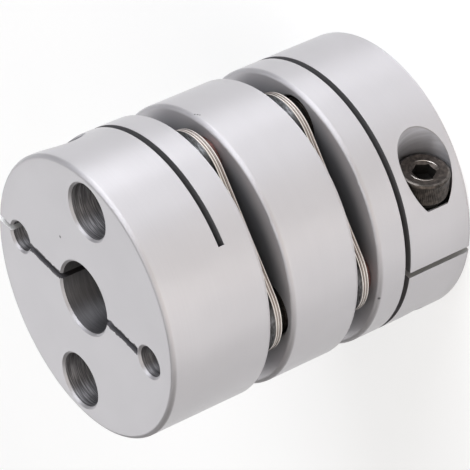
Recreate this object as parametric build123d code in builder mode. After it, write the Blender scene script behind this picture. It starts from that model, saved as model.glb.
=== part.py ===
from build123d import *
from math import cos, radians, sqrt
import os

# Double-disc clamp coupling for servo shafts, standing on the end face of its lower hub.
# +Z is the coupling axis. The slit of each hub lies along X, its clamp screw along Y.

# Envelope
outside_radius = 39.0 / 2
hub_length = 15.4
ring_length = 10.7
rim_round = 0.6
hole_chamfer = 0.3

# Shaft bore, and the walls that the large screw holes leave to the rim and to the ring's opening
bore_radius = 10.0 / 2
rim_wall = 1.35
opening_wall = 1.55

# Screws: hexagon socket heads, metric 4
thread_radius = 4.0 / 2
head_radius = 7.0 / 2
head_height = 4.0
head_edge = 0.2
socket_across_flats = 3.0
socket_depth = 2.0
disc_screw_length = 7.0
clamp_screw_length = 14.0
screw_hole_clearance = 0.1
head_clearance = 0.3

# Flexible leaves and the collars that hold them off the hubs and the ring
leaf_count = 5
leaf_thickness = 0.2
leaf_recess = 0.7
leaf_corner_radius = 6.8
collar_radius = 3.5
collar_height = 1.2
washer_height = 0.7

# Clamp part of the hub: cross slot, slit and screw
slot_from_end = 10.3
slot_width = 0.9
slot_end_angle = 45.0
slit_width = 0.9
slit_wall = 0.35
clamp_seat = 8.0

screw_hole_radius = thread_radius + screw_hole_clearance
head_hole_radius = head_radius + head_clearance
bolt_circle_radius = outside_radius - rim_wall - head_hole_radius
inner_opening_radius = bolt_circle_radius - head_hole_radius - opening_wall
clamp_screw_height = slot_from_end / 2
slot_floor = outside_radius * cos(radians(slot_end_angle))
slit_end = bolt_circle_radius - screw_hole_radius - slit_wall
flange_start = slot_from_end + slot_width
pack_height = leaf_count * leaf_thickness
gap = 2 * collar_height + pack_height
ring_bottom = hub_length + gap
total_length = 2 * hub_length + 2 * gap + ring_length
jaw_centre = bolt_circle_radius

# The four screws of a pack, a quarter turn apart: every other one threads into the hub,
# the ones between them into the ring
screw_places = list(PolarLocations(bolt_circle_radius, 4))
hub_screw_places = screw_places[0::2]
ring_screw_places = screw_places[1::2]

os.makedirs("parts", exist_ok=True)


def keep(part, label):
    part.label = label
    export_step(part, f"parts/{label}.step")


# Lower hub: slit open towards +X, clamp screw head towards +Y
with BuildPart() as hub_lower:
    with BuildSketch(Plane.XY):
        Circle(outside_radius)
    extrude(amount=hub_length)
    fillet(hub_lower.edges().filter_by(GeomType.CIRCLE), radius=rim_round)

    with BuildSketch(Plane.XY):
        Circle(bore_radius)
        with Locations(*ring_screw_places):
            Circle(head_hole_radius)
    extrude(amount=hub_length, mode=Mode.SUBTRACT)

    # drilled through the clamp part, tapped in the flange for the disc screws
    with BuildSketch(Plane.XY):
        with Locations(*hub_screw_places):
            Circle(screw_hole_radius)
    extrude(amount=flange_start, mode=Mode.SUBTRACT)
    with BuildSketch(Plane.XY.offset(flange_start)):
        with Locations(*hub_screw_places):
            Circle(thread_radius)
    extrude(amount=hub_length - flange_start, mode=Mode.SUBTRACT)

    face_mouths = hub_lower.edges().filter_by(GeomType.CIRCLE).group_by(Axis.Z)[0]
    chamfer(face_mouths.filter_by(lambda edge: edge.radius < outside_radius / 2), length=hole_chamfer)
    flange_mouths = hub_lower.edges().filter_by(GeomType.CIRCLE).group_by(Axis.Z)[-1]
    chamfer(
        flange_mouths.filter_by(lambda edge: screw_hole_radius < edge.radius < outside_radius / 2),
        length=hole_chamfer,
    )

    # cross slot that frees the clamp part from the flange, left solid beyond its floor
    with BuildSketch(Plane.XY.offset(slot_from_end)):
        with Locations((-slot_floor, 0)):
            Rectangle(slot_floor + outside_radius, 2 * outside_radius, align=(Align.MIN, Align.CENTER))
    extrude(amount=slot_width, mode=Mode.SUBTRACT)

    # axial slit from the rim through one small hole and the bore, short of the other small hole
    with BuildSketch(Plane.XY):
        with Locations((-slit_end, 0)):
            Rectangle(slit_end + outside_radius, slit_width, align=(Align.MIN, Align.CENTER))
    extrude(amount=slot_from_end, mode=Mode.SUBTRACT)

    # recess and clearance hole in the jaw on the head's side, thread right through the other jaw
    with BuildSketch(Plane.XZ.offset(-clamp_seat)):
        with Locations((jaw_centre, clamp_screw_height)):
            Circle(head_hole_radius)
    extrude(amount=-outside_radius, mode=Mode.SUBTRACT)
    with BuildSketch(Plane.XZ):
        with Locations((jaw_centre, clamp_screw_height)):
            Circle(screw_hole_radius)
    extrude(amount=-clamp_seat, mode=Mode.SUBTRACT)
    with BuildSketch(Plane.XZ):
        with Locations((jaw_centre, clamp_screw_height)):
            Circle(thread_radius)
    extrude(amount=outside_radius, mode=Mode.SUBTRACT)

keep(hub_lower.part, "hub_lower")

# Upper hub: the opposite hand, slit open towards -X, clamp screw head towards -Y,
# with a recess in its threaded jaw as well
with BuildPart() as hub_upper:
    add(Pos(0, 0, total_length) * Rot(0, 0, 180) * hub_lower.part.mirror(Plane.XY))
    with BuildSketch(Plane.XZ.offset(-clamp_seat)):
        with Locations((-jaw_centre, total_length - clamp_screw_height)):
            Circle(head_hole_radius)
    extrude(amount=-outside_radius, mode=Mode.SUBTRACT)

keep(hub_upper.part, "hub_upper")

# Centre ring: screws thread in along Y, screw heads sink in along X
with BuildPart() as centre_ring:
    with BuildSketch(Plane.XY.offset(ring_bottom)):
        Circle(outside_radius)
    extrude(amount=ring_length)
    fillet(centre_ring.edges().filter_by(GeomType.CIRCLE), radius=rim_round)
    with BuildSketch(Plane.XY.offset(ring_bottom)):
        Circle(inner_opening_radius)
        with Locations(*hub_screw_places):
            Circle(head_hole_radius)
    extrude(amount=ring_length, mode=Mode.SUBTRACT)
    ring_mouths = centre_ring.edges().filter_by(
        lambda edge: edge.geom_type == GeomType.CIRCLE and edge.radius < outside_radius / 2
    )
    chamfer(ring_mouths, length=hole_chamfer)
    with BuildSketch(Plane.XY.offset(ring_bottom)):
        with Locations(*ring_screw_places):
            Circle(thread_radius)
    extrude(amount=ring_length, mode=Mode.SUBTRACT)

keep(centre_ring.part, "centre_ring")

# One leaf: a square with rounded corners at its four screw holes and a round opening
corner_offset = outside_radius - leaf_recess - leaf_corner_radius
with BuildPart() as leaf:
    with BuildSketch(Plane.XY):
        with PolarLocations(corner_offset, len(screw_places)):
            Circle(leaf_corner_radius)
        make_hull()
        Circle(inner_opening_radius, mode=Mode.SUBTRACT)
        with Locations(*screw_places):
            Circle(screw_hole_radius, mode=Mode.SUBTRACT)
    extrude(amount=leaf_thickness)

# Collar on the seated side of the pack and washer under each screw head
with BuildPart() as collar:
    with BuildSketch(Plane.XY):
        Circle(collar_radius)
        Circle(screw_hole_radius, mode=Mode.SUBTRACT)
    extrude(amount=collar_height)

with BuildPart() as washer:
    with BuildSketch(Plane.XY):
        Circle(collar_radius)
        Circle(screw_hole_radius, mode=Mode.SUBTRACT)
    extrude(amount=washer_height)


# Screws stand on their head's bearing face, shank down, head up
def socket_screw(length):
    with BuildPart() as screw:
        with BuildSketch(Plane.XY):
            Circle(head_radius)
        extrude(amount=head_height)
        chamfer(screw.edges().filter_by(GeomType.CIRCLE).sort_by(Axis.Z)[-1], length=head_edge)
        with BuildSketch(Plane.XY.offset(head_height - socket_depth)):
            RegularPolygon(socket_across_flats / sqrt(3), 6)
        extrude(amount=socket_depth, mode=Mode.SUBTRACT)
        with BuildSketch(Plane.XY):
            Circle(thread_radius)
        extrude(amount=-length)
    return screw.part


disc_screw = socket_screw(disc_screw_length)
clamp_screw = socket_screw(clamp_screw_length)

# Both packs: the lower one in place, the upper one turned over about Y
turned_over = Pos(0, 0, total_length) * Rot(0, 180, 0)
head_down = Rot(180, 0, 0)
pack_bottom = hub_length + collar_height
pack_top = pack_bottom + pack_height
for end, placing in (("lower", Pos(0, 0, 0)), ("upper", turned_over)):
    for number in range(leaf_count):
        leaf_place = Pos(0, 0, pack_bottom + number * leaf_thickness)
        keep(placing * leaf_place * leaf.part, f"leaf_{end}_{number + 1}")
    for number, around in enumerate(screw_places, start=1):
        if around in hub_screw_places:
            collar_place = around * Pos(0, 0, hub_length)
            washer_place = around * Pos(0, 0, pack_top)
            screw_place = around * Pos(0, 0, pack_top + washer_height)
        else:
            collar_place = around * Pos(0, 0, pack_top)
            washer_place = around * Pos(0, 0, pack_bottom - washer_height)
            screw_place = around * Pos(0, 0, pack_bottom - washer_height) * head_down
        keep(placing * collar_place * collar.part, f"collar_{end}_{number}")
        keep(placing * washer_place * washer.part, f"washer_{end}_{number}")
        keep(placing * screw_place * disc_screw, f"disc_screw_{end}_{number}")

# Clamp screws: across the slit of each hub, head in the recess of the drilled jaw
along_y = Pos(jaw_centre, clamp_seat, clamp_screw_height) * Rot(-90, 0, 0)
keep(along_y * clamp_screw, "clamp_screw_lower")
opposite = Pos(0, 0, total_length - 2 * clamp_screw_height) * Rot(0, 0, 180)
keep(opposite * along_y * clamp_screw, "clamp_screw_upper")
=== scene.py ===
import math
import random

import bpy
from mathutils import Matrix, Vector

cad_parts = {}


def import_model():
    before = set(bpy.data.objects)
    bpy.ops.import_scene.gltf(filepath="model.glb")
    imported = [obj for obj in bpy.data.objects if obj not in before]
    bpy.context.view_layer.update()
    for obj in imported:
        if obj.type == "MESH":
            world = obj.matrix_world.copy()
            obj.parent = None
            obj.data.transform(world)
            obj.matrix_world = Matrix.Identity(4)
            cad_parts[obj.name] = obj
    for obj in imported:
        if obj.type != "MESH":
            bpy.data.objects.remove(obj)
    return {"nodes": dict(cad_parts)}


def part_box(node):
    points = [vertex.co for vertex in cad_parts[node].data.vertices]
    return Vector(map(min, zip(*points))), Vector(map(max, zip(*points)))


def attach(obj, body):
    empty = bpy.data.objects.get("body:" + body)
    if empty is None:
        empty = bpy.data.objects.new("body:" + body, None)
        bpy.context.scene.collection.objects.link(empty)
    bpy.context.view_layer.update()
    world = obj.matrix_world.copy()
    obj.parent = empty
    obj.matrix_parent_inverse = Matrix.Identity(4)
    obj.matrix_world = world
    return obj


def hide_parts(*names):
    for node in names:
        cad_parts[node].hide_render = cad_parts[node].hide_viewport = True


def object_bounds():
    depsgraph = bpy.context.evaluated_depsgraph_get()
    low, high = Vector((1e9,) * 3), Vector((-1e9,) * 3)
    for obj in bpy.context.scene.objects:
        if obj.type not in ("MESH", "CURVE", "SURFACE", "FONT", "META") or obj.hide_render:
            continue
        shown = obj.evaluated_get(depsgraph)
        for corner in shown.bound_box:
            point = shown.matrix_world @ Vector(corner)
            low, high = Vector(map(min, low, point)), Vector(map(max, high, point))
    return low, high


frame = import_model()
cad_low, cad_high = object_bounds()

# Looks of the double-disc clamp coupling. Sizes are in metres, and the materials work in millimetres.

MM = 0.001
random.seed(39)

leaf_count = 5
screws_a_pack = 4

# ---------------------------------------------------------------- sizes, worked out from the frame

leaf_low, leaf_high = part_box(f"leaf_lower_{leaf_count}")
side_screw_low, side_screw_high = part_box("disc_screw_lower_1")
clamp_low, clamp_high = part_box("clamp_screw_lower")

total_length = cad_high.z
middle_height = total_length / 2
outside_radius = cad_high.x
bolt_circle_radius = (side_screw_low.x + side_screw_high.x) / 2
head_radius = (clamp_high.x - clamp_low.x) / 2
leaf_thickness = leaf_high.z - leaf_low.z
pack_from_middle = middle_height - leaf_high.z

# Sizes that the boxes don't tell
screw_hole_radius = 2.1 * MM
thread_radius = 2.0 * MM
head_height = 4.0 * MM
opening_radius = 9.0 * MM
bore_radius = 5.0 * MM
leaf_corner_radius = 6.8 * MM
skin_depth = 0.2 * MM
recess_play = 0.35 * MM
slot_width = 0.9 * MM
slit_width = 0.9 * MM
slit_wall = 0.35 * MM

clamp_from_end = (clamp_low.z + clamp_high.z) / 2
slot_from_end = 2 * clamp_from_end
slit_end = bolt_circle_radius - screw_hole_radius - slit_wall
recess_floor = clamp_high.y - head_height


# ---------------------------------------------------------------- shader helpers


def grey(value, warm=0.0):
    return (value * (1 + warm), value, value * (1 - warm), 1.0)


class Shader:
    """A Principled material whose nodes are added by short calls. Its places are in millimetres."""

    def __init__(self, name):
        self.material = bpy.data.materials.new(name)
        self.material.use_nodes = True
        self.tree = self.material.node_tree
        self.tree.nodes.clear()
        self.bsdf = self.node("ShaderNodeBsdfPrincipled")
        output = self.node("ShaderNodeOutputMaterial")
        self.surface = output.inputs["Surface"]
        self.link(self.bsdf.outputs["BSDF"], self.surface)
        in_metres = self.node("ShaderNodeTexCoord").outputs["Object"]
        self.place = self.stretch(in_metres, 1 / MM, 1 / MM, 1 / MM)

    def node(self, kind, **settings):
        made = self.tree.nodes.new(kind)
        for key, value in settings.items():
            setattr(made, key, value)
        return made

    def link(self, source, target):
        self.tree.links.new(source, target)

    def put(self, socket, value):
        """A number, colour or vector is set, and another node's output is linked."""
        if isinstance(value, bpy.types.NodeSocket):
            self.link(value, socket)
        else:
            socket.default_value = value

    def set(self, **sockets):
        """Sockets of the Principled shader, with _ for each space in their names."""
        for key, value in sockets.items():
            self.put(self.bsdf.inputs[key.replace("_", " ")], value)

    # numbers

    def math(self, operation, first, second=0.0):
        made = self.node("ShaderNodeMath", operation=operation)
        for socket, value in zip(made.inputs, (first, second)):
            self.put(socket, value)
        return made.outputs[0]

    def size(self, value):
        return self.math("ABSOLUTE", value)

    def minus(self, first, second):
        return self.math("SUBTRACT", first, second)

    def times(self, first, *others):
        """The product of all of them, which for masks is where all of them hold."""
        for other in others:
            first = self.math("MULTIPLY", first, other)
        return first

    def below(self, value, limit):
        return self.math("LESS_THAN", value, limit)

    def above(self, value, limit):
        return self.math("GREATER_THAN", value, limit)

    def span(self, value, low, high, to_low=0.0, to_high=1.0):
        """value between low and high becomes to_low to to_high, clamped."""
        made = self.node("ShaderNodeMapRange")
        for key, number in (("From Min", low), ("From Max", high), ("To Min", to_low), ("To Max", to_high)):
            made.inputs[key].default_value = number
        self.put(made.inputs["Value"], value)
        return made.outputs["Result"]

    def choose(self, factor, first, second):
        """A number between first and second."""
        made = self.node("ShaderNodeMix", data_type="FLOAT")
        self.put(made.inputs[0], factor)
        self.put(made.inputs[2], first)
        self.put(made.inputs[3], second)
        return made.outputs[0]

    # vectors

    def vector(self, operation, first, second=(0.0, 0.0, 0.0)):
        made = self.node("ShaderNodeVectorMath", operation=operation)
        self.put(made.inputs[0], first)
        self.put(made.inputs[1], second)
        return made.outputs["Value" if operation == "LENGTH" else "Vector"]

    def stretch(self, vector, x, y, z):
        return self.vector("MULTIPLY", vector, (x, y, z))

    def split(self, vector):
        made = self.node("ShaderNodeSeparateXYZ")
        self.link(vector, made.inputs[0])
        return made.outputs

    def join(self, x=0.0, y=0.0, z=0.0):
        made = self.node("ShaderNodeCombineXYZ")
        for socket, value in zip(made.inputs, (x, y, z)):
            self.put(socket, value)
        return made.outputs[0]

    def distance(self, x, y):
        """From the origin, in a plane."""
        return self.vector("LENGTH", self.join(x, y))

    def facing(self):
        """How squarely the surface faces along X, Y and Z, either way."""
        return self.split(self.vector("ABSOLUTE", self.node("ShaderNodeNewGeometry").outputs["Normal"]))

    # patterns and colours

    def noise(self, vector, scale=1.0, detail=2.0, roughness=0.5):
        made = self.node("ShaderNodeTexNoise")
        self.link(vector, made.inputs["Vector"])
        made.inputs["Scale"].default_value = scale
        made.inputs["Detail"].default_value = detail
        made.inputs["Roughness"].default_value = roughness
        return made.outputs["Fac"]

    def dots(self, spots):
        """1 within any of the spots (x, y, z, radius), with soft edges."""
        total = 0.0
        for x, y, z, radius in spots:
            away = self.vector("LENGTH", self.vector("SUBTRACT", self.place, (x, y, z)))
            total = self.math("MAXIMUM", total, self.span(away, radius * 0.6, radius * 1.2, 1.0, 0.0))
        return total

    def mix(self, factor, first, second):
        """A colour between first and second."""
        made = self.node("ShaderNodeMix", data_type="RGBA")
        self.put(made.inputs["Factor"], factor)
        self.put(made.inputs[6], first)
        self.put(made.inputs[7], second)
        return made.outputs[2]

    # relief

    def bump(self, height, distance, strength, normal=None):
        made = self.node("ShaderNodeBump")
        made.inputs["Strength"].default_value = strength
        made.inputs["Distance"].default_value = distance
        self.link(height, made.inputs["Height"])
        if normal is not None:
            self.link(normal, made.inputs["Normal"])
        return made.outputs["Normal"]

    def soft_edges(self, radius):
        made = self.node("ShaderNodeBevel", samples=6)
        made.inputs["Radius"].default_value = radius
        return made.outputs["Normal"]


# ---------------------------------------------------------------- aluminium of the hubs and the ring

skin_colour = (0.530, 0.520, 0.540, 1.0)
skin_metallic = 0.75
skin_roughness = 0.35
skin_anisotropy = 0.8
# painted shade for the faces deep in the gaps between the hubs, the ring and the leaves
gap_shade_colour = (0.05, 0.066, 0.09, 1.0)
# painted shade on the faces inside the cross slots
slot_colour = (0.09, 0.09, 0.10, 1.0)
# painted shade on the slits' own walls
slit_colour = (0.10, 0.095, 0.104, 1.0)
ragged_colour = (0.075, 0.07, 0.078, 1.0)
mark_colour = (0.16, 0.155, 0.16, 1.0)
# dark tones inside the holes: partly the walls' own tone, partly painted shade
drilled_dark = (0.10, 0.098, 0.104, 1.0)
drilled_light = (0.32, 0.315, 0.33, 1.0)
# painted light on the recess walls near the mouth, which fades to painted shade deeper in
recess_mouth_painted_light = (0.66, 0.66, 0.70, 1.0)

# How far the tones reach past a size, in millimetres
mask_play = 0.05

# Small dark marks in the photo: place in millimetres from the middle of the lower end face, and radius
marks = [
    # a speck on the upper hub's end face, and one at the rim of the lower hub's flange
    (-5.5, 6.4, total_length / MM, 0.22),
    (19.40, -1.69, 15.15, 0.24),
    # a scratch at the rim of the ring
    (-3.88, 19.11, 28.99, 0.13),
    (-3.59, 19.17, 28.78, 0.16),
    (-3.34, 19.21, 28.61, 0.13),
]


class Aluminium(Shader):
    """Turned aluminium with a satin anodised skin, and darker drilled, bored and sawn walls inside whose
    darkness is partly painted shade; the gaps, slits and recesses carry painted shade and light too.
    """

    def __init__(self):
        super().__init__("anodised_aluminium")
        self.x, self.y, self.z = self.split(self.place)
        self.radius = self.distance(self.x, self.y)
        facing = self.facing()
        self.faces_y = facing[1]
        self.faces_z = facing[2]
        self.off_plane = self.size(self.y)
        from_middle = self.size(self.minus(self.z, middle_height / MM))
        self.from_ends = self.minus(middle_height / MM, from_middle)
        # the upper hub mirrors the lower one and is turned half round, so its X and Y change sign
        sign = self.span(self.z, middle_height / MM - 1, middle_height / MM + 1, 1.0, -1.0)
        self.to_open_end = self.times(self.x, sign)
        self.to_screw_head = self.times(self.y, sign)

        self.in_recess = self.recess_mask()
        within = self.below(self.radius, (outside_radius - skin_depth) / MM)
        upright = self.below(self.faces_z, 0.7)
        self.inside = self.times(within, self.math("MAXIMUM", upright, self.in_recess))
        self.in_clamp_part = self.below(self.from_ends, slot_from_end / MM)
        self.beside_slit = self.minus(self.off_plane, slit_width / 2 / MM)
        self.near_rim = self.span(self.radius, 15.8, 16.6)

        self.turned = self.noise(self.join(self.radius, self.z), 9.0, 3.0)
        self.grain = self.noise(self.place, 14.0, 3.0, 0.6)
        self.rings = self.cutter_rings()
        bored = self.below(self.radius, bore_radius / MM + 1)
        self.rough_wall = self.minus(1.0, self.times(bored, 0.85))

    def recess_mask(self):
        """1 in the clamp screws' recesses, which run along Y."""
        off_x = self.minus(self.size(self.x), bolt_circle_radius / MM)
        off_z = self.minus(self.from_ends, clamp_from_end / MM)
        near_axis = self.below(self.distance(off_x, off_z), (head_radius + recess_play) / MM)
        return self.times(near_axis, self.above(self.off_plane, recess_floor / MM - 2 * mask_play))

    def cutter_rings(self):
        """Each turn of a cutter left a ring in its hole, along Z, or along Y in a recess."""
        along = self.choose(self.in_recess, self.z, self.times(self.y, 0.25))
        across = self.stretch(self.place, 0.35, 0.35, 0.35)
        return self.noise(self.vector("ADD", across, self.join(z=self.times(along, 6.5))), detail=3.0)

    def skin(self):
        """The clean satin skin, very slightly uneven."""
        cloud = self.noise(self.place, 0.12)
        tone = self.times(
            self.span(cloud, 0.3, 0.7, 0.96, 1.0),
            self.span(self.grain, 0.25, 0.75, 0.97, 1.0),
            self.span(self.turned, 0.3, 0.7, 0.975, 1.0),
        )
        return self.mix(tone, grey(0.0), skin_colour)

    def painted_gap_shade(self, skin):
        """The faces in the gaps are painted darker away from the rim, as shade deep in the gaps."""
        past_slot = self.above(self.from_ends, slot_from_end / MM + 2)
        away_from_rim = self.span(self.radius, 15.8, 18.6, 0.56, 0.0)
        shade_in_gap = self.times(self.above(self.faces_z, 0.8), past_slot, away_from_rim)
        return self.mix(shade_in_gap, skin, gap_shade_colour)

    def dark_slots(self, skin):
        """The two faces of each cross slot, painted dark as shade inside the slot."""
        from_slot = self.size(self.minus(self.from_ends, (slot_from_end + slot_width / 2) / MM))
        in_slot = self.below(from_slot, slot_width / 2 / MM + mask_play)
        return self.mix(self.times(in_slot, self.above(self.faces_z, 0.9), 0.6), skin, slot_colour)

    def ragged_slits(self, skin):
        """The saw left ragged edges beside the slits, on the end faces."""
        reach = self.span(self.noise(self.place, 1.2, 4.0), 0.35, 0.65, 0.05, 0.30)
        edge = self.times(
            self.below(self.beside_slit, reach),
            self.above(self.to_open_end, -slit_end / MM),
            self.in_clamp_part,
            self.above(self.faces_z, 0.9),
            self.minus(1.0, self.near_rim),
        )
        return self.mix(edge, skin, ragged_colour)

    def hole_walls(self):
        """Drilled walls with rings, and the smooth reamed bore, darker still; their dark tones are partly
        the walls' own tone and partly painted shade.
        """
        tone = self.times(self.span(self.rings, 0.42, 0.72), self.rough_wall)
        return self.mix(tone, drilled_dark, drilled_light)

    def recess_walls(self, wall):
        """Recesses are painted lighter near the mouth and darker towards the floor, as light and shade, and
        nearly black round the foot of a screw head, as painted shadow.
        """
        tone = self.times(
            self.span(self.off_plane, 12.0, 15.5, 0.38, 1.0),
            self.span(self.rings, 0.35, 0.65, 0.8, 1.0),
        )
        wall = self.mix(self.in_recess, wall, self.mix(tone, drilled_dark, recess_mouth_painted_light))
        # painted shadow: a near black ring on the recess floor round the foot of a screw head
        seat = self.times(
            self.below(self.to_screw_head, recess_floor / MM + 2 * mask_play),
            self.above(self.to_screw_head, recess_floor / MM - 2 * mask_play),
            self.in_recess,
        )
        return self.mix(seat, wall, grey(0.015))

    def slit_walls(self, wall):
        """The slits' own walls are painted dark as shade, and painted bright where they open at the rim, as
        light reaching in.
        """
        on_slit_wall = self.times(self.below(self.beside_slit, mask_play), self.above(self.faces_y, 0.9))
        tone = self.mix(self.near_rim, slit_colour, grey(0.62))
        return self.mix(self.times(on_slit_wall, self.in_clamp_part), wall, tone)

    def roughness(self):
        """Rougher on walls inside, on fillets and chamfers, and a little on the flat faces."""
        uneven = self.math("ADD", self.turned, self.grain)
        even = self.span(uneven, 0.7, 1.3, skin_roughness - 0.04, skin_roughness + 0.04)
        slanting = self.times(
            self.span(self.faces_z, 0.05, 0.3, 0.0, 0.3),
            self.span(self.faces_z, 0.9, 1.0, 1.0, 0.2),
        )
        return self.math("ADD", even, self.math("MAXIMUM", self.times(self.inside, 0.3), slanting))

    def relief(self):
        """Soft edges, grain and fine turning lines, and rings on the walls inside."""
        normal = self.bump(self.grain, 0.004 * MM, 0.6, self.soft_edges(0.05 * MM))
        normal = self.bump(self.turned, 0.003 * MM, 0.5, normal)
        return self.bump(self.times(self.rings, self.inside, self.rough_wall), 0.02 * MM, 0.5, normal)


def aluminium():
    """The skin outside and the walls inside, put together."""
    s = Aluminium()
    skin = s.dark_slots(s.painted_gap_shade(s.skin()))
    skin = s.mix(s.dots(marks), skin, mark_colour)
    skin = s.ragged_slits(skin)
    wall = s.slit_walls(s.recess_walls(s.hole_walls()))
    s.set(
        Base_Color=s.mix(s.inside, skin, wall),
        Metallic=skin_metallic,
        Roughness=s.roughness(),
        Normal=s.relief(),
    )
    # turning went round the axis, so the outside spreads a highlight along Z, and the flat faces evenly
    s.set(
        Anisotropic=s.span(s.faces_z, 0.75, 0.98, skin_anisotropy, 0.0),
        Tangent=s.join(0.0, 0.0, 1.0),
    )
    return s.material


# ---------------------------------------------------------------- steels


def spring_steel(name, edge_colour):
    """Rolled spring strip with a blanked edge of its own tone, dark where two leaves meet."""
    s = Shader(name)
    x, y, z = s.split(s.place)
    rolled = s.noise(s.stretch(s.place, 0.6, 9.0, 9.0), detail=3.0)

    # the faces are painted dark as shade, with a streaky painted reflection near the screws, which stand
    # along X and Y
    near_axis = s.math("MINIMUM", s.size(x), s.size(y))
    streaks = s.noise(s.join(s.times(s.distance(x, y), 7.0), s.times(near_axis, 1.2)))
    painted_sheen = s.times(s.span(near_axis, 1.6, 4.2, 1.0, 0.0), s.span(streaks, 0.35, 0.6, 0.25, 1.0))
    dark = s.mix(s.span(rolled, 0.3, 0.7), grey(0.05, 0.08), grey(0.09, 0.06))
    face = s.mix(painted_sheen, dark, (0.70, 0.71, 0.74, 1.0))

    uneven = s.noise(s.stretch(s.place, 0.5, 0.5, 4.0))
    edge = s.mix(s.span(uneven, 0.38, 0.6, 0.0, 0.3), edge_colour, grey(0.42, 0.05))
    into_pack = s.minus(s.size(s.minus(z, middle_height / MM)), pack_from_middle / MM)
    through_leaf = s.math("FRACT", s.math("DIVIDE", into_pack, leaf_thickness / MM))
    off_centre = s.size(s.minus(through_leaf, 0.5))
    edge = s.mix(s.span(off_centre, 0.32, 0.46), edge, (0.04, 0.028, 0.024, 1.0))

    on_edge = s.below(s.facing()[2], 0.9)
    s.set(
        Base_Color=s.mix(on_edge, face, edge),
        Metallic=0.85,
        Roughness=s.span(rolled, 0.3, 0.7, 0.32, 0.45),
        Normal=s.bump(rolled, 0.002 * MM, 0.4),
    )
    return s.material


def turned_steel(name, dark, light, roughness):
    """Turned steel rings with fine tool lines round their axes, and uneven tones in light and dark streaks
    along the axes that are painted reflection.
    """
    s = Shader(name)
    lines = s.noise(s.stretch(s.place, 0.3, 0.3, 14.0))
    # painted reflection: light and dark streaks along the axis
    upright = s.noise(s.stretch(s.place, 2.4, 2.4, 0.2))
    tone = s.times(s.span(lines, 0.3, 0.7, 0.6, 1.0), s.span(upright, 0.35, 0.65, 0.2, 1.0))
    s.set(
        Base_Color=s.mix(tone, dark, light),
        Metallic=1.0,
        Roughness=s.span(lines, 0.3, 0.7, roughness - 0.05, roughness + 0.05),
        Normal=s.bump(lines, 0.003 * MM, 0.6, s.soft_edges(0.08 * MM)),
    )
    return s.material


def black_oxide(name, dark, light, metallic=1.0, shine=0.5, highlight_sides=False):
    """Alloy steel with a mottled black oxide skin, or one with a painted highlight on two sides of the
    clamp screw.
    """
    s = Shader(name)
    grain = s.noise(s.place, 18.0)
    # a painted highlight: the lip is light on two sides and dark between
    if highlight_sides:
        x, y, z = s.split(s.place)
        highlight_angle = math.radians(50.9)
        off_x = s.minus(s.size(x), bolt_circle_radius / MM)
        off_z = s.minus(z, clamp_from_end / MM)
        off_axis = s.math("ADD", s.times(off_x, math.cos(highlight_angle)), s.times(off_z, math.sin(highlight_angle)))
        tone = s.span(s.size(off_axis), 1.3, 1.95)
    else:
        tone = s.span(s.noise(s.place, 1.6, 4.0, 0.6), 0.35, 0.7)
    s.set(
        Base_Color=s.mix(tone, dark, light),
        Metallic=metallic,
        Roughness=s.span(grain, 0.3, 0.7, 0.30, 0.42),
        Specular_IOR_Level=shine,
        Normal=s.bump(grain, 0.004 * MM, 0.6, s.soft_edges(0.04 * MM)),
    )
    return s.material


# ---------------------------------------------------------------- mesh helpers


def stand_in(node, mesh, materials):
    """The finished mesh that stands for a CAD node, in the frame's own place."""
    for material in materials:
        mesh.materials.append(material)
    piece = bpy.data.objects.new(node + "_shown", mesh)
    bpy.context.scene.collection.objects.link(piece)
    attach(piece, "root")
    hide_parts(node)


def at(value, angle):
    """A ring's radius or height is a number or depends on the angle."""
    return value(angle) if callable(value) else value


class Lathe:
    """A mesh of turned shells, each of one material. A ring is (radius, height)."""

    def __init__(self, name, place):
        self.name = name
        self.place = place
        self.points = []
        self.faces = []
        self.materials = []
        self.slots = []

    def shell(self, rings, sides, material, ends="open"):
        """Rings from one end to the other, with ends "open", "capped" or "joined" to each other."""
        first = len(self.points)
        for radius, height in rings:
            for step in range(sides):
                angle = 2 * math.pi * step / sides
                reach = at(radius, angle)
                point = Vector((reach * math.cos(angle), reach * math.sin(angle), at(height, angle)))
                self.points.append(self.place @ point)
        faces = []
        for ring in range(len(rings) if ends == "joined" else len(rings) - 1):
            start = first + ring * sides
            after = first + (ring + 1) % len(rings) * sides
            for step in range(sides):
                turn = (step + 1) % sides
                faces.append((start + step, start + turn, after + turn, after + step))
        if ends == "capped":
            faces.append(tuple(reversed(range(first, first + sides))))
            faces.append(tuple(range(len(self.points) - sides, len(self.points))))
        if material not in self.materials:
            self.materials.append(material)
        self.faces += faces
        self.slots += [self.materials.index(material)] * len(faces)

    def mesh(self, sharp_angle):
        made = bpy.data.meshes.new(self.name)
        made.from_pydata(self.points, [], self.faces)
        made.polygons.foreach_set("material_index", self.slots)
        made.shade_smooth()
        made.set_sharp_from_angle(angle=math.radians(sharp_angle))
        return made


# ---------------------------------------------------------------- screws

socket_flats = 2.9 * MM
socket_depth = 2.0 * MM
mouth_radius = 1.98 * MM
dish = 0.10 * MM
undercut_depth = 0.42 * MM
undercut_height = 0.66 * MM
rim_width = 0.42 * MM
lip_width = 0.11 * MM
lip_height = 0.025 * MM
knurl_teeth = 84
knurl_depth = 0.045 * MM
thread_pitch = 0.7 * MM
thread_depth = 0.36 * MM

# Sides of the shells, where the knurl takes six for each tooth
thread_sides = 72
foot_sides = 96
knurl_sides = 6 * knurl_teeth
top_sides = 120

top = head_height
top_rim = (head_radius - 0.15 * MM, top - 0.11 * MM)
dish_edge = mouth_radius + lip_width


def hexagon(across_flats):
    """The radius of a hexagonal socket at an angle."""
    half_side = math.radians(30)
    return lambda angle: across_flats / 2 / math.cos((angle + half_side) % (2 * half_side) - half_side)


def knurled(angle):
    """The radius of a straight knurl at an angle: ridges with rounded tops."""
    return head_radius - 0.05 * MM - knurl_depth * abs(math.sin(knurl_teeth * angle / 2)) ** 0.8


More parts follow.
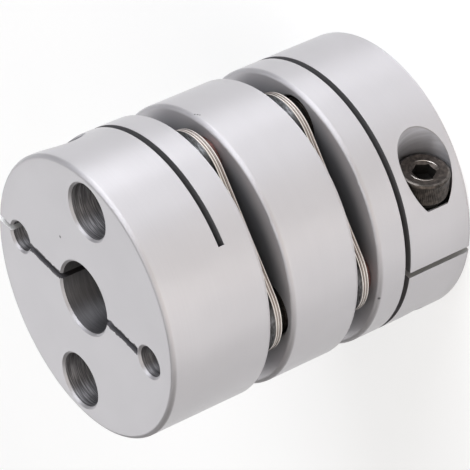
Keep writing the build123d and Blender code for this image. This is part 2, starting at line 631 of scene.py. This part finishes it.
def cone_foot(angle):
    """The height at which the mouth's cone meets the hexagon."""
    slope = 0.45
    return top - dish - 0.02 * MM - (mouth_radius - hexagon(socket_flats)(angle)) * slope


def foot_rings():
    """The bearing face and the undercut between it and the knurl, painted near black as shade."""
    return [
        (thread_radius, 0.0),
        (head_radius - undercut_depth - 0.08 * MM, 0.0),
        (head_radius - undercut_depth - 0.03 * MM, 0.06 * MM),
        (head_radius - undercut_depth, undercut_height),
    ]


def side_rings():
    """The knurled side, from the undercut up to the rim."""
    return [
        (head_radius - undercut_depth, undercut_height),
        (head_radius - 0.10 * MM, undercut_height + 0.08 * MM),
        (head_radius - 0.06 * MM, undercut_height + 0.18 * MM),
        (knurled, undercut_height + 0.32 * MM),
        (knurled, 1.6 * MM),
        (knurled, 2.6 * MM),
        (knurled, top - 0.62 * MM),
        (head_radius - 0.03 * MM, top - 0.50 * MM),
        (head_radius - 0.03 * MM, top - 0.40 * MM),
        (head_radius - 0.07 * MM, top - 0.24 * MM),
        top_rim,
    ]


def rim_rings():
    """The rim of the head's top, painted brighter than the rest as a highlight."""
    return [top_rim, (head_radius - 0.27 * MM, top - 0.03 * MM), (head_radius - rim_width, top)]


def top_rings():
    """The dished top, down to the lip of the socket."""
    return [
        (head_radius - rim_width, top),
        (head_radius - 0.56 * MM, top - 0.02 * MM),
        (head_radius - 0.72 * MM, top - dish),
        (dish_edge, top - dish),
    ]


def lip_rings():
    """The lip round the socket's mouth, with a painted highlight on two sides."""
    return [
        (dish_edge, top - dish),
        (mouth_radius + 0.08 * MM, top - dish + lip_height),
        (mouth_radius + 0.04 * MM, top - dish + lip_height),
        (mouth_radius, top - dish - 0.02 * MM),
    ]


def mouth_rings():
    """The cone of the socket's mouth."""
    return [(mouth_radius, top - dish - 0.02 * MM), (hexagon(socket_flats), cone_foot)]


def socket_rings():
    """The hexagonal walls that cut the cone, and the drill's point at the bottom."""
    wall = hexagon(socket_flats)
    return [
        (wall, cone_foot),
        (wall, top - 0.75 * MM),
        (wall, top - socket_depth + 0.1 * MM),
        (hexagon(socket_flats - 0.2 * MM), top - socket_depth),
        (0.9 * MM, top - socket_depth - 0.15 * MM),
        (0.0, top - socket_depth - 0.5 * MM),
    ]


def thread_rings(length):
    """A rounded helical thread from the screw's tip up to the bearing face."""
    steps_per_turn = 10
    crest = thread_radius - 0.02 * MM
    rings = [(0.9 * MM, -length), (1.45 * MM, -length + 0.02 * MM)]
    for step in range(2, round(length / thread_pitch * steps_per_turn) - 3):
        height = -length + step * thread_pitch / steps_per_turn
        # the groove runs in over a turn at the tip and runs out under the head
        full = min(1.0, (height + length) / thread_pitch, -height / thread_pitch / 0.8)

        def radius(angle, height=height, full=full):
            phase = (height / thread_pitch - angle / (2 * math.pi)) % 1.0
            groove = abs(2 * phase - 1)
            return crest - thread_depth * (groove * 0.8 + 0.2) * full - (1 - full) * 0.15 * MM

        rings.append((radius, height))
    rings.append((thread_radius - 0.1 * MM, -0.2 * MM))
    rings.append((thread_radius - 0.02 * MM, 0.0))
    return rings


def screw(node, place, length):
    """A hexagon socket head screw that stands on its bearing face, with its head up."""
    lathe = Lathe(node + "_shown", place)
    lathe.shell(thread_rings(length), thread_sides, oxide, "capped")
    # the bearing face, the undercut and the socket inside are painted near black, as shade
    lathe.shell(foot_rings(), foot_sides, socket_shade_black)
    lathe.shell(side_rings(), knurl_sides, oxide)
    lathe.shell(rim_rings(), top_sides, rim_highlight_oxide)
    lathe.shell(top_rings(), top_sides, oxide)
    lathe.shell(lip_rings(), top_sides, lip_highlight_oxide)
    lathe.shell(mouth_rings(), top_sides, oxide)
    lathe.shell(socket_rings(), top_sides, socket_shade_black)
    stand_in(node, lathe.mesh(35), lathe.materials)


def disc_screw(node, head_up):
    """One of the screws that clamp a corner of the leaves, along Z."""
    low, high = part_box(node)
    centre = (low + high) / 2
    if head_up:
        place = Matrix.Translation((centre.x, centre.y, high.z - head_height))
    else:
        seat = Matrix.Translation((centre.x, centre.y, low.z + head_height))
        place = seat @ Matrix.Rotation(math.pi, 4, "X")
    screw(node, place, high.z - low.z - head_height)


def clamp_screw(node, side):
    """A screw across a hub's slit. side is 1 where its head looks towards +Y, and -1 towards -Y."""
    low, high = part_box(node)
    centre = (low + high) / 2
    seat = high.y - head_height if side > 0 else low.y + head_height
    place = Matrix.Translation((centre.x, seat, centre.z)) @ Matrix.Rotation(-side * math.pi / 2, 4, "X")
    socket_turn = Matrix.Rotation(math.radians(30), 4, "Z")
    screw(node, place @ socket_turn, high.y - low.y - head_height)


# ---------------------------------------------------------------- leaves, collars and washers


def ring(node, steel):
    """A collar or washer, turned, with broken edges."""
    low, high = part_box(node)
    centre = (low + high) / 2
    radius = (high.x - low.x) / 2
    height = high.z - low.z
    hole = screw_hole_radius
    edge = 0.12 * MM
    rings = [
        (hole, edge),
        (hole + edge, 0.0),
        (radius - edge, 0.0),
        (radius, edge),
        (radius, height - edge),
        (radius - edge, height),
        (hole + edge, height),
        (hole, height - edge),
    ]
    lathe = Lathe(node + "_shown", Matrix.Translation((centre.x, centre.y, low.z)))
    lathe.shell(rings, 96, steel, "joined")
    stand_in(node, lathe.mesh(30), lathe.materials)


def arc_points(centre, radius, count, start, sweep):
    """Points along an arc, with both its ends."""
    points = []
    for step in range(count):
        angle = start + sweep * step / (count - 1)
        x = centre[0] + radius * math.cos(angle)
        y = centre[1] + radius * math.sin(angle)
        points.append(Vector((x, y, 0.0)))
    return points


def circle_points(centre, radius, count):
    """Points all round a circle."""
    return arc_points(centre, radius, count + 1, 0.0, 2 * math.pi)[:-1]


def around(number, distance):
    """The middle of one of the four corners or screws, which stand along X and Y."""
    angle = math.radians(90 * number)
    return distance * math.cos(angle), distance * math.sin(angle)


def leaf_loops(reach):
    """A square with rounded corners that stand at the four screws, its opening and its holes."""
    quarter = math.radians(90)
    outline = []
    holes = []
    for number in range(screws_a_pack):
        corner = around(number, reach - leaf_corner_radius)
        outline += arc_points(corner, leaf_corner_radius, 24, (number - 0.5) * quarter, quarter)
        holes.append(circle_points(around(number, bolt_circle_radius), screw_hole_radius, 32))
    return [outline, circle_points((0, 0), opening_radius, 96), *holes]


def leaf(node, steel):
    """One thin disc of a pack, with rounded edges."""
    low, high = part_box(node)
    edge = 0.05 * MM
    curve = bpy.data.curves.new(node + "_outline", "CURVE")
    curve.dimensions = "2D"
    curve.fill_mode = "BOTH"
    curve.extrude = (high.z - low.z) / 2 - edge
    curve.bevel_depth = edge
    curve.bevel_resolution = 2
    curve.offset = -edge
    for points in leaf_loops(high.x):
        spline = curve.splines.new("POLY")
        spline.points.add(len(points) - 1)
        for target, point in zip(spline.points, points):
            target.co = (*point, 1.0)
        spline.use_cyclic_u = True
    carrier = bpy.data.objects.new(node + "_outline", curve)
    mesh = bpy.data.meshes.new_from_object(carrier)
    bpy.data.objects.remove(carrier)

    # no two leaves of a real pack lie quite flush
    turn = Matrix.Rotation(math.radians(random.uniform(-0.35, 0.35)), 4, "Z")
    slip_x = random.uniform(-0.04, 0.04) * MM
    slip_y = random.uniform(-0.04, 0.04) * MM
    mesh.transform(Matrix.Translation((slip_x, slip_y, (low.z + high.z) / 2)) @ turn)
    mesh.name = node + "_shown"
    mesh.shade_smooth()
    mesh.set_sharp_from_angle(angle=math.radians(40))
    stand_in(node, mesh, [steel])


# ---------------------------------------------------------------- the object

anodised = aluminium()
light_strip = spring_steel("spring_steel", (0.74, 0.70, 0.66, 1.0))
dark_strip = spring_steel("spring_steel_dark_edge", (0.25, 0.20, 0.18, 1.0))
browned_steel = turned_steel("browned_steel", (0.08, 0.042, 0.038, 1.0), (0.20, 0.105, 0.095, 1.0), 0.5)
clean_steel = turned_steel("turned_steel", (0.045, 0.045, 0.046, 1.0), (0.55, 0.55, 0.55, 1.0), 0.3)
oxide = black_oxide("black_oxide", (0.031, 0.027, 0.024, 1.0), (0.098, 0.082, 0.073, 1.0), metallic=0.9)
# the head's rim, brighter as a painted highlight
rim_highlight_oxide = black_oxide("black_oxide_rim_painted_highlight", (0.06, 0.054, 0.05, 1.0), (0.19, 0.172, 0.16, 1.0))
# the socket's lip, with a highlight painted on two sides
lip_highlight_oxide = black_oxide(
    "black_oxide_painted_lip_highlight",
    (0.06, 0.052, 0.048, 1.0),
    (0.58, 0.54, 0.51, 1.0),
    highlight_sides=True,
)
# near black with no shine: painted shade in the socket and under the head
socket_shade_black = black_oxide(
    "black_oxide_socket_painted_shade",
    grey(0.008, 0.05),
    grey(0.014, 0.05),
    metallic=0.0,
    shine=0.0,
)

for node in ("hub_lower", "hub_upper", "centre_ring"):
    frame["nodes"][node].material_slots[0].material = anodised

for end in ("lower", "upper"):
    for number in range(1, leaf_count + 1):
        leaf(f"leaf_{end}_{number}", light_strip if number % 2 else dark_strip)
    for number in range(1, screws_a_pack + 1):
        # where a head is up, the collar lies below the pack, and in the photo only those are browned
        head_up = (number % 2 == 1) == (end == "lower")
        ring(f"collar_{end}_{number}", browned_steel if head_up else clean_steel)
        ring(f"washer_{end}_{number}", clean_steel)
        disc_screw(f"disc_screw_{end}_{number}", head_up)

clamp_screw("clamp_screw_lower", 1)
clamp_screw("clamp_screw_upper", -1)

# ---------------------------------------------------------------- floor, light and camera


def floor():
    """A pale plain floor that looks nearly white to the camera and in the metal, and keeps the shadow."""
    glow = 0.65
    half = 1.5
    s = Shader("pale_floor")
    grain = s.noise(s.place, 0.06, 3.0)
    s.set(Base_Color=s.mix(s.span(grain, 0.3, 0.7), grey(0.96), grey(0.98)), Roughness=0.9)
    white = s.node("ShaderNodeEmission")
    white.inputs["Strength"].default_value = 1.0
    path = s.node("ShaderNodeLightPath")
    seen = s.math("MAXIMUM", path.outputs["Is Camera Ray"], path.outputs["Is Glossy Ray"])
    seen = s.math("MAXIMUM", seen, path.outputs["Is Transmission Ray"])
    blend = s.node("ShaderNodeMixShader")
    s.put(blend.inputs[0], s.times(seen, glow))
    s.link(s.bsdf.outputs["BSDF"], blend.inputs[1])
    s.link(white.outputs["Emission"], blend.inputs[2])
    s.link(blend.outputs["Shader"], s.surface)

    mesh = bpy.data.meshes.new("floor")
    corners = [(-half, -half, 0), (half, -half, 0), (half, half, 0), (-half, half, 0)]
    mesh.from_pydata(corners, [], [(0, 1, 2, 3)])
    mesh.materials.append(s.material)
    plane = bpy.data.objects.new("floor", mesh)
    bpy.context.scene.collection.objects.link(plane)


def world(strength):
    """A faint white light from all round."""
    made = bpy.data.worlds.new("studio")
    bpy.context.scene.world = made
    made.use_nodes = True
    background = made.node_tree.nodes["Background"]
    background.inputs["Color"].default_value = (1.0, 1.0, 1.0, 1.0)
    background.inputs["Strength"].default_value = strength


def lamp(name, azimuth, elevation, power, size, colour):
    """A square soft lamp at an azimuth and elevation in degrees, that looks at the object's middle."""
    distance = 0.7
    data = bpy.data.lights.new(name, "AREA")
    data.size = size
    data.energy = power
    data.color = colour
    made = bpy.data.objects.new(name, data)
    across = math.cos(math.radians(elevation))
    direction = Vector((
        across * math.cos(math.radians(azimuth)),
        across * math.sin(math.radians(azimuth)),
        math.sin(math.radians(elevation)),
    ))
    made.location = Vector((0, 0, middle_height)) + direction * distance
    made.rotation_euler = direction.to_track_quat("Z", "Y").to_euler()
    bpy.context.scene.collection.objects.link(made)


def camera():
    """The photo's camera, worked out from the circles and edges in it, and rolled far over."""
    eye = Vector((0.250833, 0.277089, 0.232718))
    aim = Vector((0.000323, -0.000292, 0.024299))
    roll = math.radians(-113.870)
    data = bpy.data.cameras.new("camera")
    data.sensor_width = 36.0
    data.lens = 249.95
    data.clip_start = 0.01
    made = bpy.data.objects.new("camera", data)
    turn = (aim - eye).to_track_quat("-Z", "Y").to_matrix().to_4x4() @ Matrix.Rotation(roll, 4, "Z")
    made.matrix_world = Matrix.Translation(eye) @ turn
    bpy.context.scene.collection.objects.link(made)
    bpy.context.scene.camera = made


floor()
world(0.04)
lamp("right", -30, 42, 0.6, 0.8, (1.0, 0.985, 0.97))
lamp("front", 4, 20, 3.7, 0.8, (1.0, 0.965, 0.93))
lamp("warm_front", 40, 25, 1.5, 0.8, (1.0, 0.82, 0.62))
lamp("high", 40, 66, 0.6, 0.4, (1.0, 1.0, 1.0))
lamp("side_high", 100, 35, 5.2, 0.5, (0.95, 0.966, 1.0))
lamp("side_low", 125, 3, 2.7, 0.35, (0.95, 0.966, 1.0))
lamp("left", 200, 6, 0.8, 0.35, (1.0, 1.0, 1.0))
lamp("face", 228, 29, 0.66, 0.35, (1.0, 1.0, 1.0))
camera()
bpy.context.scene.view_settings.view_transform = "Standard"
